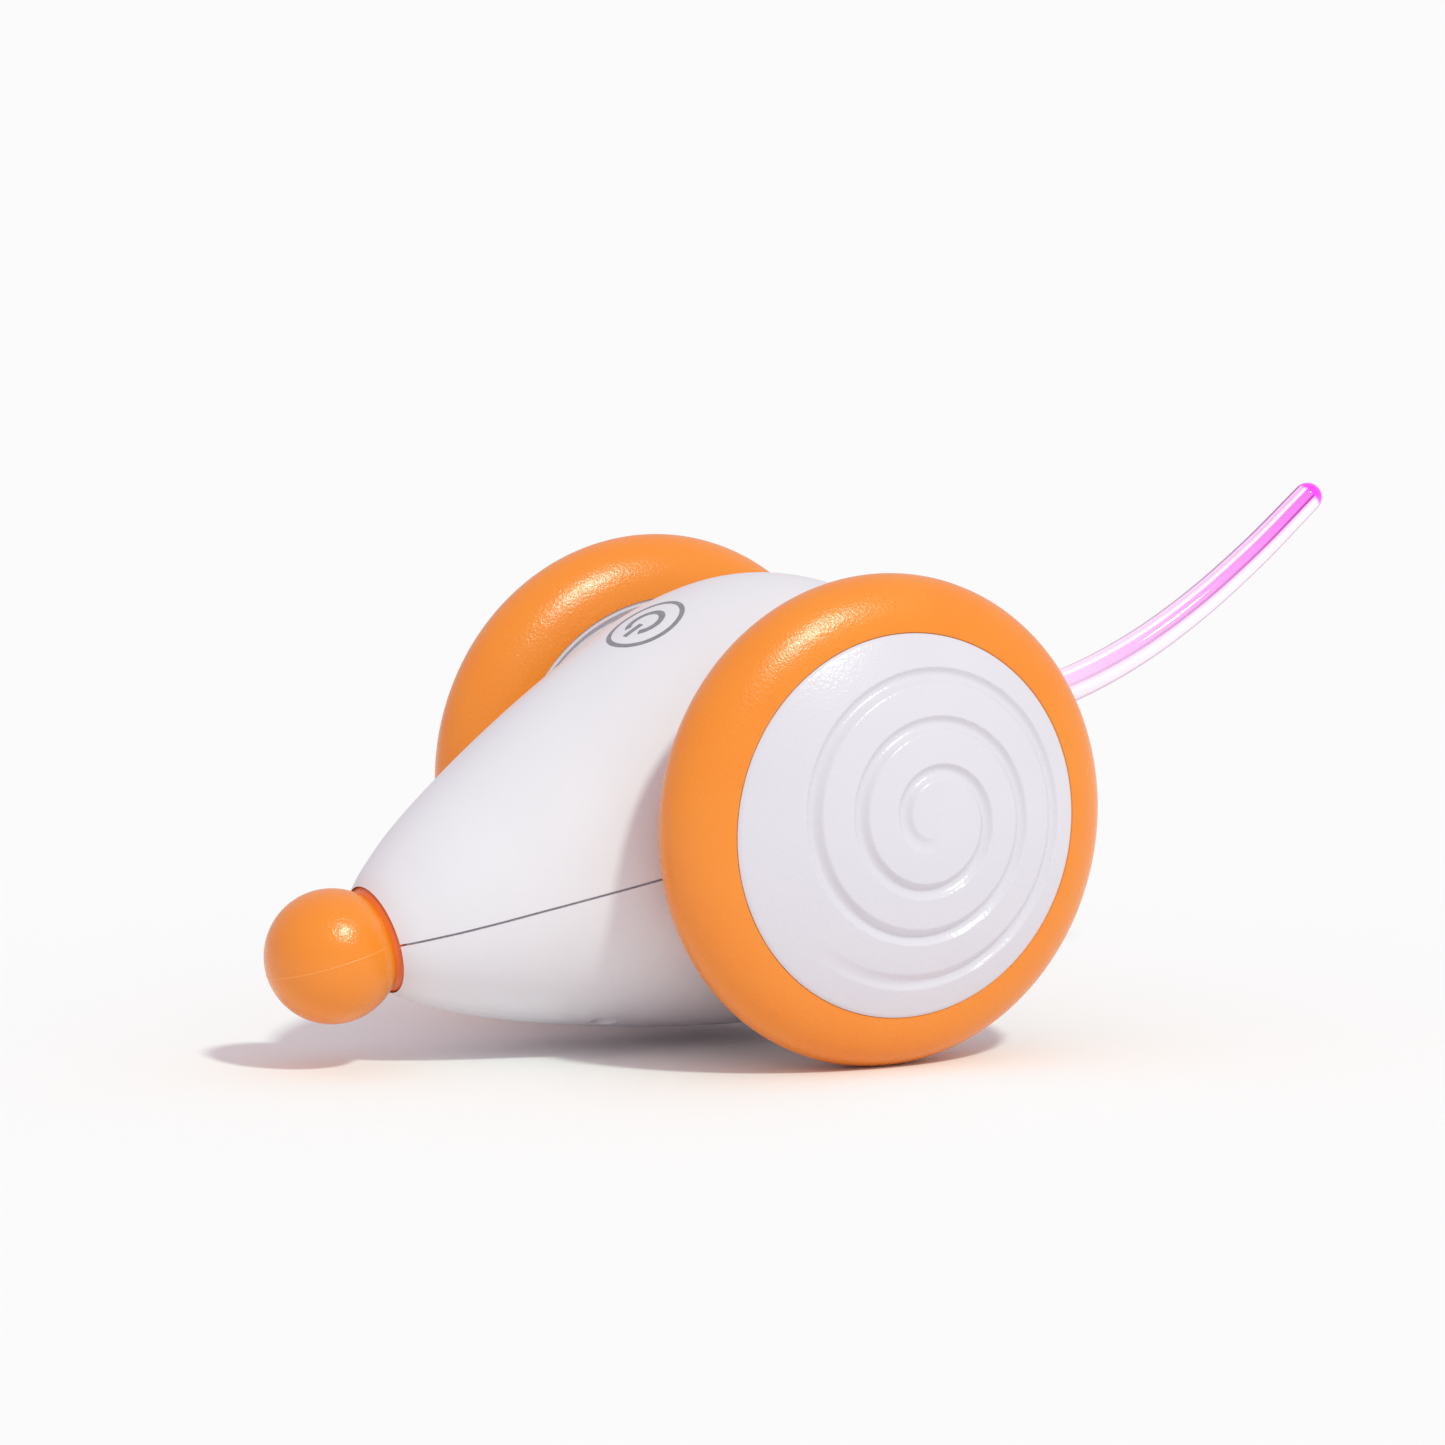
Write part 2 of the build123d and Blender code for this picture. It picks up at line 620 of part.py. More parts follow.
def main_board():
    board = span_box(BOARD_X, (-BOARD_HALF_W, BOARD_HALF_W), BOARD_Z)
    for x, y, height in CHIPS:
        board += span_box(x, y, (BOARD_Z[1], BOARD_Z[1] + height))
    for x, y in BOARD_POSTS:
        board -= rod_z(BOARD_SCREW[0] + SCREW_PLAY, x, y, (0, BIG))
    return board


def touch_spring():
    """Soldered coil that joins the board to the underside of the touch ring."""
    low = BOARD_Z[1] + TOUCH_WIRE_R
    high = REAR_R - WALL - TOUCH_DROP
    path = Helix((high - low) / TOUCH_TURNS, high - low, TOUCH_COIL_R)
    section = Plane(origin=path @ 0, z_dir=path % 0) * Circle(TOUCH_WIRE_R)
    return Pos(TOUCH_X, 0, low) * sweep(section, path)


def charge_board():
    x = PORT_FACE_X + WALL + SCREW_PLAY
    z = PORT_Z + SOCKET_H / 2
    return span_box((x, x + CHARGE_BOARD_L), (-CHARGE_BOARD_HALF_W, CHARGE_BOARD_HALF_W), (z, z + CHARGE_BOARD_H))


def usb_socket():
    """Metal shell of the charging socket, closed behind, with its tongue."""
    front = PORT_FACE_X + SOCKET_BACK
    back = front + SOCKET_L
    shell = port_stadium(SOCKET_W, SOCKET_H, (front, back))
    inside = (front - 1, back - 2 * SOCKET_WALL)
    shell -= port_stadium(SOCKET_W - 2 * SOCKET_WALL, SOCKET_H - 2 * SOCKET_WALL, inside)
    tongue = (front + 2 * SOCKET_BACK, back), (-TONGUE_HALF_W, TONGUE_HALF_W)
    return shell + span_box(*tongue, (PORT_Z - TONGUE_HALF_H, PORT_Z + TONGUE_HALF_H))


# ---------------------------------------------------------------- wheels (drawn on the left, axis on Y)
def turned(outline):
    """Revolves an outline of (radius, u) points or edges about the wheel axis."""
    return revolve(make_face(outline), Axis.Y, 360)


def tyre():
    """Soft ring with an elliptical section, cut back for the disc behind and the cap in front."""
    lip_r = CAP_R + LIP_GAP
    section = Pos(TYRE_CENTRE_R, 0) * Ellipse(TYRE_HALF_DEPTH, TYRE_HALF_WIDTH)
    bead_u = DISC_FACE_U + DISC_WEB
    section &= Pos(BARREL_R + BIG / 2, 0) * Rectangle(BIG, BIG)
    section -= Pos(0, bead_u - BIG / 2) * Rectangle(2 * DISC_R, BIG)
    section -= Pos(0, CAP_SEAT_U + BIG / 2) * Rectangle(2 * lip_r, BIG)
    return revolve(section, Axis.Y, 360)


def wheel_disc():
    """White inner disc: web, barrel that carries the tyre, and the hub."""
    back = DISC_FACE_U
    web = back + DISC_WEB
    barrel_in = BARREL_R - BARREL_WALL
    points = [
        (SHAFT_R, back),
        (DISC_R, back),
        (DISC_R, web),
        (BARREL_R, web),
        (BARREL_R, BARREL_END_U),
        (barrel_in, BARREL_END_U),
        (barrel_in, web),
        (HUB_R, web),
        (HUB_R, HUB_END_U),
        (SHAFT_R, HUB_END_U),
    ]
    disc = turned(Polyline(*points, close=True))
    overlap = SPOKE_HALF_W / 2  # of a spoke with what it joins
    reach = (HUB_R - overlap, barrel_in + overlap)
    spoke = span_box(reach, (web - overlap, web + SPOKE_HEIGHT), (-SPOKE_HALF_W, SPOKE_HALF_W))
    for i in range(SPOKES):
        disc += Rot(Y=360 * i / SPOKES) * spoke
    return disc


def hubcap():
    """Domed white cap with a snap skirt."""
    outer_r = (CAP_R**2 + CAP_RISE**2) / (2 * CAP_RISE)
    centre_u = CAP_EDGE_U + CAP_RISE - outer_r
    inner_r = outer_r - CAP_WALL
    ledge_r = BARREL_R - BARREL_WALL - SKIRT_PLAY
    dome = Pos(0, centre_u, 0) * (Sphere(outer_r) - Sphere(inner_r))
    dome &= rod_y(CAP_R, 0, 0, (CAP_SEAT_U, BIG))
    rim = rod_y(CAP_R, 0, 0, (CAP_SEAT_U, CAP_EDGE_U)) - rod_y(ledge_r, 0, 0, (-BIG, BIG))
    skirt = rod_y(ledge_r, 0, 0, (BARREL_END_U - SKIRT_DEPTH, CAP_EDGE_U + 1))
    skirt -= rod_y(ledge_r - SKIRT_WALL, 0, 0, (-BIG, BIG))
    skirt &= Pos(0, centre_u, 0) * Sphere(inner_r + 0.2)
    cap = dome + rim + skirt
    edge = cap.edges().filter_by(GeomType.CIRCLE).sort_by(lambda e: e.radius)[-2:]
    return chamfer([e for e in edge if e.center().Y > CAP_EDGE_U - 0.1], CAP_BEVEL)


def wheel_shaft():
    """Shaft pressed into the hub, tapped at its outer end for the wheel screw."""
    shaft = rod_y(SHAFT_R, 0, 0, (SHAFT_IN_Y - WHEEL_Y, SHAFT_END_U))
    return shaft - rod_y(WHEEL_SCREW[0], 0, 0, (SHAFT_END_U - SHAFT_TAP, BIG))


def wheel_screw():
    return screw_y(0, 0, HUB_END_U, WHEEL_SCREW)


# ---------------------------------------------------------------- build and write every node
def save(shape, node):
    export_step(shape, f"parts/{node}.step")


def save_pair(shape, node, place):
    """Writes a piece drawn on the left and its mirror image on the right."""
    left, right = both_sides(shape)
    save(place(left), node + "_left")
    save(place(right), node + "_right")


def on_wheel(shape):
    return Pos(AXLE_X, 0, AXLE_Z) * shape


upper_shell, lower_shell = shells()
save(on_body(upper_shell), "upper_shell")
save(on_body(lower_shell), "lower_shell")
save(on_body(nose_ball()), "nose_ball")
save(on_body(nose_core()), "nose_core")
save(on_body(tail()), "tail")
save(on_body(tail_socket()), "tail_socket")
save(on_body(tail_led()), "tail_led")
save(on_body(chassis()), "chassis")
save(on_body(battery()), "battery")
save(on_body(battery_tray()), "battery_tray")
save(on_body(ballast()), "ballast")
save(on_body(main_board()), "main_board")
save(on_body(touch_spring()), "touch_spring")
save(on_body(charge_board()), "charge_board")
save(on_body(usb_socket()), "usb_socket")

save_pair(gearbox_plate(), "gearbox_plate", on_body)
save_pair(gearbox_cover(), "gearbox_cover", on_body)
save_pair(motor(), "motor", on_body)
save_pair(motor_shaft(), "motor_shaft", on_body)
save_pair(motor_pinion(), "motor_pinion", on_body)
save_pair(first_gear(), "first_gear", on_body)
save_pair(second_gear(), "second_gear", on_body)

sleeves = []
for sleeve in bushes():
    sleeves += both_sides(sleeve)
save(on_body(group(sleeves)), "axle_bushes")

pins = []
for pin in gear_pins():
    pins += both_sides(pin)
save(on_body(group(pins)), "gear_pins")

shell_screws = []
for x, y in SHELL_SCREWS:
    turned_over = Pos(x, y, SCREW_WEB_Z) * Rot(X=180) * screw(*SHELL_SCREW)
    shell_screws.append(turned_over)
save(on_body(group(shell_screws)), "shell_screws")

board_screws = []
for x, y in BOARD_POSTS:
    board_screws.append(Pos(x, y, BOARD_Z[1]) * screw(*BOARD_SCREW))
save(on_body(group(board_screws)), "board_screws")

gearbox_screws = []
for x, z in PILLARS:
    gearbox_screws += both_sides(screw_y(x, z, COVER_Y[1], GEARBOX_SCREW))
save(on_body(group(gearbox_screws)), "gearbox_screws")

motor_screws = []
for x, z in motor_screw_places():
    motor_screws += both_sides(screw_y(x, z, PLATE_Y[1], MOTOR_SCREW))
save(on_body(group(motor_screws)), "motor_screws")

# The wheel parts are drawn about the tyre's middle plane, so they move out to it first.
for piece, node in (
    (tyre(), "tyre"),
    (wheel_disc(), "wheel_disc"),
    (hubcap(), "hubcap"),
    (wheel_shaft(), "wheel_shaft"),
    (wheel_screw(), "wheel_screw"),
):
    save_pair(Pos(0, WHEEL_Y, 0) * piece, node, on_wheel)
# The output gear turns with the wheel, and its teeth mesh with the tilted gear train.
save_pair(output_gear(), "output_gear", on_body)
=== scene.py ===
"""Looks of the two-wheeled mouse toy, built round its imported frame. Lengths are metres unless named _MM."""

import json
import math

import bmesh
import bpy
from mathutils import Matrix, Vector


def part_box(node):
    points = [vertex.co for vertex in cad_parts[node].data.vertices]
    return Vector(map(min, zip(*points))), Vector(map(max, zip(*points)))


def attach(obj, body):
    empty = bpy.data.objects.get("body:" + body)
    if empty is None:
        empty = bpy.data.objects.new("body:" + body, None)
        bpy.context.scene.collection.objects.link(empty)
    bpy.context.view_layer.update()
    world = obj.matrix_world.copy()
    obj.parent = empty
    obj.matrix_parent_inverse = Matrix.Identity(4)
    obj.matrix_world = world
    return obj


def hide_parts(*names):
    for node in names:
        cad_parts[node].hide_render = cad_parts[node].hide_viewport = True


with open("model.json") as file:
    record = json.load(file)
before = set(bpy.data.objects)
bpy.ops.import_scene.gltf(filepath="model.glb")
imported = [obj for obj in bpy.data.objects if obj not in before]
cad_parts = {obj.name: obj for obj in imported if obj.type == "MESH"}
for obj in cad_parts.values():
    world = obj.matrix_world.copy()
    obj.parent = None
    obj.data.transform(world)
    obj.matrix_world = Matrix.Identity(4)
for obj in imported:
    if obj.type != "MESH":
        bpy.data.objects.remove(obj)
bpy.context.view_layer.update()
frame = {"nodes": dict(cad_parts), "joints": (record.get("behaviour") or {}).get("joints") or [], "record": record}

MM = 0.001
SIDES = {"left": 1, "right": -1}

# ---------------------------------------------------------------- places taken from the frame
nodes = frame["nodes"]
record = frame["record"]
low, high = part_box("tyre_left")
AXLE = Vector(((low.x + high.x) / 2, 0.0, (low.z + high.z) / 2))
WHEEL_R_MM = (high.z - low.z) / 2 / MM
port = next(m for m in record["mounts"] if m["name"] == "charge_port_face")
PITCH = math.atan2(port["axis"][2], -port["axis"][0])
FORWARD = Vector((math.cos(PITCH), 0.0, -math.sin(PITCH)))
UPWARD = Vector((math.sin(PITCH), 0.0, math.cos(PITCH)))
LEFT = Vector((0.0, 1.0, 0.0))
TRACK_HALF_MM = next(j for j in frame["joints"] if j["name"] == "wheel_left_spin")["pos_m"][1] / MM

# Shapes shared with the solid model, in its own millimetres.
REAR_R_MM = 31.2
SKIN_ARCS_MM = [(54.0, 15.5), (225.0, 24.0), (120.0, 28.4), (45.0, 40.9)]
NOSE_S_MM = 69.95
NOSE_R_MM = 9.33
NECK_R_MM = 7.1
NECK_FLARE_R_MM = 7.62
NECK_BACK_MM = 57.0
TAIL_LINE_MM = [
    (-28.6, 0.0), (-42.0, -0.8), (-52.6, -1.1), (-64.0, 0.3), (-75.6, 3.3), (-87.4, 7.7), (-98.4, 12.7)
]
TAIL_ROOT_R_MM = 2.85
TAIL_TIP_R_MM = 2.15
TYRE_HALF_WIDTH_MM = 7.12
TYRE_HALF_DEPTH_MM = 9.17
CAP_R_MM = 26.39
CAP_RISE_MM = 6.55
CAP_EDGE_U_MM = 7.12
CAP_SEAT_U_MM = 5.6
CAP_WALL_MM = 1.5
LIP_GAP_MM = 0.03
DISC_R_MM = 25.64
DISC_WEB_U_MM = -5.23
DISC_FACE_U_MM = -6.73
DISC_RIM_MM = 0.95
DISC_RECESS_MM = 1.0
DISC_WEB_MM = 1.2
BARREL_R_MM = 23.4
BARREL_WALL_MM = 1.8
BARREL_END_U_MM = 4.6
HUB_R_MM = 4.2
SHAFT_R_MM = 1.5
SLIM_FROM_MM = 2.0
SLIM_TO_MM = 19.0
SLIM_SHARE = 0.06  # how much narrower than high the nose cone is
SLIM_ENDS_MM = 62.0
SLIM_FADE_MM = 16.0
SIDE_FLAT_MM = 25.8
SEAM_GAP_MM = 0.35
SEAM_DEPTH_MM = 0.9
SEAM_SHOWN_MM = 0.2  # the seam is shown this deep, and not as deep as in the solid
SEAM_FLOOR_FROM_MM = 0.5
MOUTH_S_MM = 62.1
LIP_FROM_MM = 57.5
LIP_DRAWN_IN_MM = 0.6
LIP_FORWARD_MM = 0.9
LIP_SKIN_MM = 0.3  # only the outer skin of the mouth is drawn in

# Engraved spiral of the hubcaps
SPIRAL_CENTRE_MM = (-1.0, 1.41)
SPIRAL_START_R_MM = 3.2
SPIRAL_PITCH_MM = 6.43
SPIRAL_FROM_DEG = -95.0
SPIRAL_TURNS = 3.14
GROOVE_HALF_MM = 1.15
GROOVE_DEPTH_MM = 0.8
GROOVE_SHAPE = 1.3
GROOVE_STARTS_OVER = 0.35  # turns
GROOVE_ENDS_OVER = 0.20  # turns


def on_body(s, y, t):
    """Point of the body frame, in millimetres, as a place in metres."""
    return AXLE + (FORWARD * s + LEFT * y + UPWARD * t) * MM


# ---------------------------------------------------------------- camera, floor and light
CAMERA_TURN_DEG = 29.081
CAMERA_RISE_DEG = 6.688
CAMERA_DISTANCE = 1.05757
CAMERA_OFFSET = (0.00549, -0.010)  # the axle's place across the picture plane
LENS_MM = 186.85
SENSOR_MM = 36.0
FLOOR_REACH = 12.0


def make_camera():
    turn, rise = math.radians(CAMERA_TURN_DEG), math.radians(CAMERA_RISE_DEG)
    toward = Vector((math.cos(rise) * math.sin(turn), math.cos(rise) * math.cos(turn), math.sin(rise)))
    across = Vector((-math.cos(turn), math.sin(turn), 0.0))
    upward = toward.cross(across)
    place = AXLE + toward * CAMERA_DISTANCE - across * CAMERA_OFFSET[0] - upward * CAMERA_OFFSET[1]
    data = bpy.data.cameras.new("camera")
    data.lens = LENS_MM
    data.sensor_width = SENSOR_MM
    data.clip_end = 50.0
    camera = bpy.data.objects.new("camera", data)
    bpy.context.scene.collection.objects.link(camera)
    camera.matrix_world = Matrix.Translation(place) @ Matrix((across, upward, toward)).transposed().to_4x4()
    bpy.context.scene.camera = camera


SUN_TOWARD = Vector((-0.06, 0.665, 0.744)).normalized()
SUN_STRENGTH = 1.68
SUN_COLOUR = (0.86, 1.0, 0.885)
SUN_ANGLE_DEG = 5.5
SKY_STRENGTH = 0.70
SKY_COLOUR = (1.0, 0.915, 0.985)
FLOOR_WHITE = 0.93


def make_light():
    world = bpy.data.worlds.new("studio")
    world.use_nodes = True
    background = world.node_tree.nodes["Background"]
    background.inputs["Color"].default_value = (*SKY_COLOUR, 1.0)
    background.inputs["Strength"].default_value = SKY_STRENGTH
    bpy.context.scene.world = world
    sun = bpy.data.lights.new("key", "SUN")
    sun.energy = SUN_STRENGTH
    sun.angle = math.radians(SUN_ANGLE_DEG)
    sun.color = SUN_COLOUR
    key = bpy.data.objects.new("key", sun)
    key.rotation_euler = SUN_TOWARD.to_track_quat("Z", "Y").to_euler()
    bpy.context.scene.collection.objects.link(key)
    bpy.context.scene.view_settings.view_transform = "Standard"


def make_floor():
    mesh = bpy.data.meshes.new("floor")
    corners = [(x * FLOOR_REACH, y * FLOOR_REACH, 0) for x, y in ((-1, -1), (1, -1), (1, 1), (-1, 1))]
    mesh.from_pydata(corners, [], [(0, 1, 2, 3)])
    floor = bpy.data.objects.new("floor", mesh)
    bpy.context.scene.collection.objects.link(floor)
    material = bpy.data.materials.new("floor_white")
    material.use_nodes = True
    shader = material.node_tree.nodes["Principled BSDF"]
    shader.inputs["Base Color"].default_value = (FLOOR_WHITE, FLOOR_WHITE, FLOOR_WHITE, 1)
    shader.inputs["Roughness"].default_value = 0.9
    shader.inputs["Specular IOR Level"].default_value = 0.0
    floor.data.materials.append(material)


# ---------------------------------------------------------------- materials
def new_material(name):
    material = bpy.data.materials.new(name)
    material.use_nodes = True
    tree = material.node_tree
    return material, tree, tree.nodes["Principled BSDF"]


def node(tree, kind, **inputs):
    made = tree.nodes.new(kind)
    for key, value in inputs.items():
        made.inputs[key.replace("_", " ")].default_value = value
    return made


def object_noise(tree, scale, detail=2.0, roughness=0.5):
    """Noise texture in object space; scale is features to the metre."""
    place = tree.nodes.new("ShaderNodeTexCoord")
    noise = node(tree, "ShaderNodeTexNoise", Scale=scale, Detail=detail, Roughness=roughness)
    tree.links.new(place.outputs["Object"], noise.inputs["Vector"])
    return noise


def ramp(tree, source, stops):
    made = tree.nodes.new("ShaderNodeValToRGB")
    elements = made.color_ramp.elements
    while len(elements) < len(stops):
        elements.new(0.5)
    for element, (place, colour) in zip(elements, stops):
        element.position = place
        element.color = (*colour, 1.0)
    tree.links.new(source, made.inputs["Fac"])
    return made


def blended(tree, factor, first, second):
    """Colour that goes from first, a socket, to second, a plain colour, with factor."""
    mix = tree.nodes.new("ShaderNodeMix")
    mix.data_type = "RGBA"
    factor_in, first_in, second_in = mix.inputs[0], mix.inputs[6], mix.inputs[7]
    tree.links.new(factor, factor_in)
    tree.links.new(first, first_in)
    second_in.default_value = (*second, 1.0)
    return mix.outputs[2]


ROUGHNESS_SPREAD = 0.06


def moulded(name, colour, shift, roughness, grain_per_m, grain_height, waves_per_m=90.0):
    """Moulded plastic or rubber: colour drift, roughness with slight patches and a fine spark grain."""
    material, tree, shader = new_material(name)
    links = tree.links
    drift = object_noise(tree, waves_per_m, 3.0)
    second = tuple(max(0.0, min(1.0, c + d)) for c, d in zip(colour, shift))
    tint = ramp(tree, drift.outputs["Fac"], [(0.35, colour), (0.68, second)])
    links.new(tint.outputs["Color"], shader.inputs["Base Color"])
    patches = object_noise(tree, waves_per_m * 4, 3.0)
    span = tree.nodes.new("ShaderNodeMapRange")
    span.inputs["To Min"].default_value = roughness - ROUGHNESS_SPREAD
    span.inputs["To Max"].default_value = roughness + ROUGHNESS_SPREAD
    links.new(patches.outputs["Fac"], span.inputs["Value"])
    links.new(span.outputs["Result"], shader.inputs["Roughness"])
    grain = object_noise(tree, grain_per_m, 2.0, 0.6)
    bump = node(tree, "ShaderNodeBump", Strength=1.0, Distance=grain_height)
    links.new(grain.outputs["Fac"], bump.inputs["Height"])
    links.new(bump.outputs["Normal"], shader.inputs["Normal"])
    return material, shader


def shell_plastic():
    material, shader = moulded(
        "shell_white", (0.775, 0.755, 0.800), (-0.012, -0.012, -0.010), 0.34, 2200.0, 0.000016
    )
    shader.inputs["Specular IOR Level"].default_value = 0.45
    return material


def cap_plastic():
    material, shader = moulded(
        "cap_white", (0.715, 0.680, 0.740), (-0.010, -0.010, -0.008), 0.22, 2000.0, 0.000045
    )
    shader.inputs["Specular IOR Level"].default_value = 0.5
    return material


ORANGE = (0.87, 0.257, 0.014)
# lighter orange of the nose's mould line: a painted highlight along the raised bead
BEAD_HIGHLIGHT_ORANGE = (0.92, 0.32, 0.04)
# red-orange of the crease round the neck: painted shade, where little light reaches
CREASE_SHADE_ORANGE = (0.80, 0.135, 0.003)
CREASE_SHADE_S_MM = 64.0


def orange_rubber(name, colour):
    material, shader = moulded(name, colour, (0.0, -0.016, -0.004), 0.26, 2400.0, 0.000070)
    shader.inputs["Specular IOR Level"].default_value = 0.60
    return material


def nose_rubber():
    """Orange rubber with painted shade: it deepens to red-orange down in the crease round the neck, where little
    light reaches.
    """
    material = orange_rubber("nose_rubber", ORANGE)
    tree = material.node_tree
    shader = tree.nodes["Principled BSDF"]
    surface = shader.inputs["Base Color"].links[0].from_socket
    place = tree.nodes.new("ShaderNodeTexCoord")
    along = node(tree, "ShaderNodeVectorMath")
    along.operation = "DOT_PRODUCT"
    along.inputs[1].default_value = FORWARD
    tree.links.new(place.outputs["Object"], along.inputs[0])
    # mask of the painted shade: 1 behind the crease on the neck, 0 on the ball
    shade_start = AXLE.dot(FORWARD) + CREASE_SHADE_S_MM * MM
    depth = node(tree, "ShaderNodeMapRange", To_Min=1.0, To_Max=0.0)
    depth.inputs["From Min"].default_value = shade_start - 0.0004
    depth.inputs["From Max"].default_value = shade_start + 0.0005
    tree.links.new(along.outputs["Value"], depth.inputs["Value"])
    shaded = blended(tree, depth.outputs["Result"], surface, CREASE_SHADE_ORANGE)
    tree.links.new(shaded, shader.inputs["Base Color"])
    return material


def print_ink():
    material, shader = moulded(
        "print_ink", (0.235, 0.22, 0.25), (0.05, 0.05, 0.05), 0.5, 3200.0, 0.000006, 900.0
    )
    shader.inputs["Specular IOR Level"].default_value = 0.35
    return material


def metal(name, colour, roughness):
    """Drawn or turned metal with a fine noise grain in its colour and roughness."""
    material, tree, shader = new_material(name)
    shader.inputs["Metallic"].default_value = 1.0
    noise = object_noise(tree, 2400.0, 4.0, 0.65)
    tint = ramp(tree, noise.outputs["Fac"], [(0.3, tuple(c * 0.85 for c in colour)), (0.7, colour)])
    tree.links.new(tint.outputs["Color"], shader.inputs["Base Color"])
    span = tree.nodes.new("ShaderNodeMapRange")
    span.inputs["To Min"].default_value = roughness * 0.7
    span.inputs["To Max"].default_value = roughness * 1.3
    tree.links.new(noise.outputs["Fac"], span.inputs["Value"])
    tree.links.new(span.outputs["Result"], shader.inputs["Roughness"])
    return material


# Tail colours: the PINK_WHITE bands in the list are painted highlights, and the MAGENTA lines are painted
# refraction lines at the rod's edges.
PINK_LIGHT = (0.84, 0.16, 0.80)
PINK_FAINT = (0.93, 0.50, 0.90)
PINK_WHITE = (0.98, 0.93, 0.98)
MAGENTA = (0.50, 0.0, 0.42)
TIP_MAGENTA = (1.0, 0.045, 0.90)
TAIL_PAINTED_BANDS = [  # once round the tail, from its underside by the left
    (0.000, PINK_FAINT), (0.060, MAGENTA), (0.122, MAGENTA), (0.138, PINK_WHITE),
    (0.235, PINK_WHITE), (0.274, PINK_FAINT), (0.280, MAGENTA), (0.296, MAGENTA),
    (0.306, PINK_LIGHT), (0.385, PINK_LIGHT), (0.400, PINK_WHITE), (0.420, PINK_WHITE),
    (0.434, PINK_FAINT), (0.468, PINK_FAINT), (0.482, PINK_WHITE), (0.505, MAGENTA),
    (0.560, MAGENTA), (0.600, PINK_FAINT), (0.750, PINK_LIGHT), (0.900, PINK_WHITE),
]
TIP_FROM = 0.95  # share of the tail's length at which its round tip starts


def tail_clear():
    """Clear moulding: bands of pink light painted along it, among them painted highlights and painted refraction
    lines, that deepen towards the tip and glow faintly.
    """
    material, tree, shader = new_material("tail_clear")
    links = tree.links
    uv = tree.nodes.new("ShaderNodeUVMap")
    uv.uv_map = "along"
    split = tree.nodes.new("ShaderNodeSeparateXYZ")
    links.new(uv.outputs["UV"], split.inputs["Vector"])
    stripes = ramp(tree, split.outputs["X"], TAIL_PAINTED_BANDS)
    fade = node(tree, "ShaderNodeMapRange", From_Min=0.0, From_Max=TIP_FROM, To_Min=0.80, To_Max=0.0)
    links.new(split.outputs["Y"], fade.inputs["Value"])
    pale = blended(tree, fade.outputs["Result"], stripes.outputs["Color"], PINK_WHITE)
    tip = ramp(tree, split.outputs["Y"], [(0.949, (0, 0, 0)), (0.955, (1, 1, 1))])
    ended = blended(tree, tip.outputs["Color"], pale, TIP_MAGENTA)
    links.new(ended, shader.inputs["Base Color"])
    links.new(ended, shader.inputs["Emission Color"])
    shader.inputs["Emission Strength"].default_value = 0.10
    shader.inputs["Roughness"].default_value = 0.07
    shader.inputs["IOR"].default_value = 1.46
    shader.inputs["Coat Weight"].default_value = 0.6
    shader.inputs["Coat Roughness"].default_value = 0.03
    shader.inputs["Transmission Weight"].default_value = 0.12
    return material


# ---------------------------------------------------------------- mesh helpers
def mesh_piece(name, points, faces, material, body, stands_for=(), sharp_deg=32.0):
    """Smooth-shaded mesh with crisp edges, riding on a body in place of CAD nodes."""
    mesh = bpy.data.meshes.new(name)
    mesh.from_pydata([tuple(p) for p in points], [], faces)
    tidy = bmesh.new()
    tidy.from_mesh(mesh)
    bmesh.ops.recalc_face_normals(tidy, faces=tidy.faces)
    tidy.to_mesh(mesh)
    tidy.free()
    return dress(name, mesh, material, body, stands_for, sharp_deg)


def dress(name, mesh, material, body, stands_for=(), sharp_deg=32.0):
    mesh.shade_smooth()
    mesh.set_sharp_from_angle(angle=math.radians(sharp_deg))
    mesh.materials.clear()
    mesh.materials.append(material)
    piece = bpy.data.objects.new(name, mesh)
    bpy.context.scene.collection.objects.link(piece)
    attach(piece, body)
    if stands_for:
        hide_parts(*stands_for)
    return piece


def ring_faces(rows, count, closed_rows):
    """Quads that join rows of count points, each row being a closed ring."""
    faces = []
    for i in range(rows if closed_rows else rows - 1):
        below, above = i * count, ((i + 1) % rows) * count
        for k in range(count):
            nxt = (k + 1) % count
            faces.append((below + k, below + nxt, above + nxt, above + k))
    return faces


def lathe(outline, count, place):
    """Revolves (radius, along) points; place(radius * cos, radius * sin, along) gives the vertex."""
    points = []
    for radius, along in outline:
        for k in range(count):
            angle = 2 * math.pi * k / count
            points.append(place(radius * math.cos(angle), radius * math.sin(angle), along))
    return points


def wheel_place(side):
    """Maps (x, z, u) of a wheel, in millimetres, to its side of the toy."""
    def place(x, z, u):
        return AXLE + Vector((x, side * (TRACK_HALF_MM + u), z)) * MM
    return place


# ---------------------------------------------------------------- wheels
def arc_points(centre, radii, start_deg, end_deg, count):
    """Points on an ellipse, as (radius, along), with 0 degrees pointing outward."""
    made = []
    for i in range(count):
        angle = math.radians(start_deg + (end_deg - start_deg) * i / (count - 1))
        made.append((centre[0] + radii[0] * math.cos(angle), centre[1] + radii[1] * math.sin(angle)))
    return made


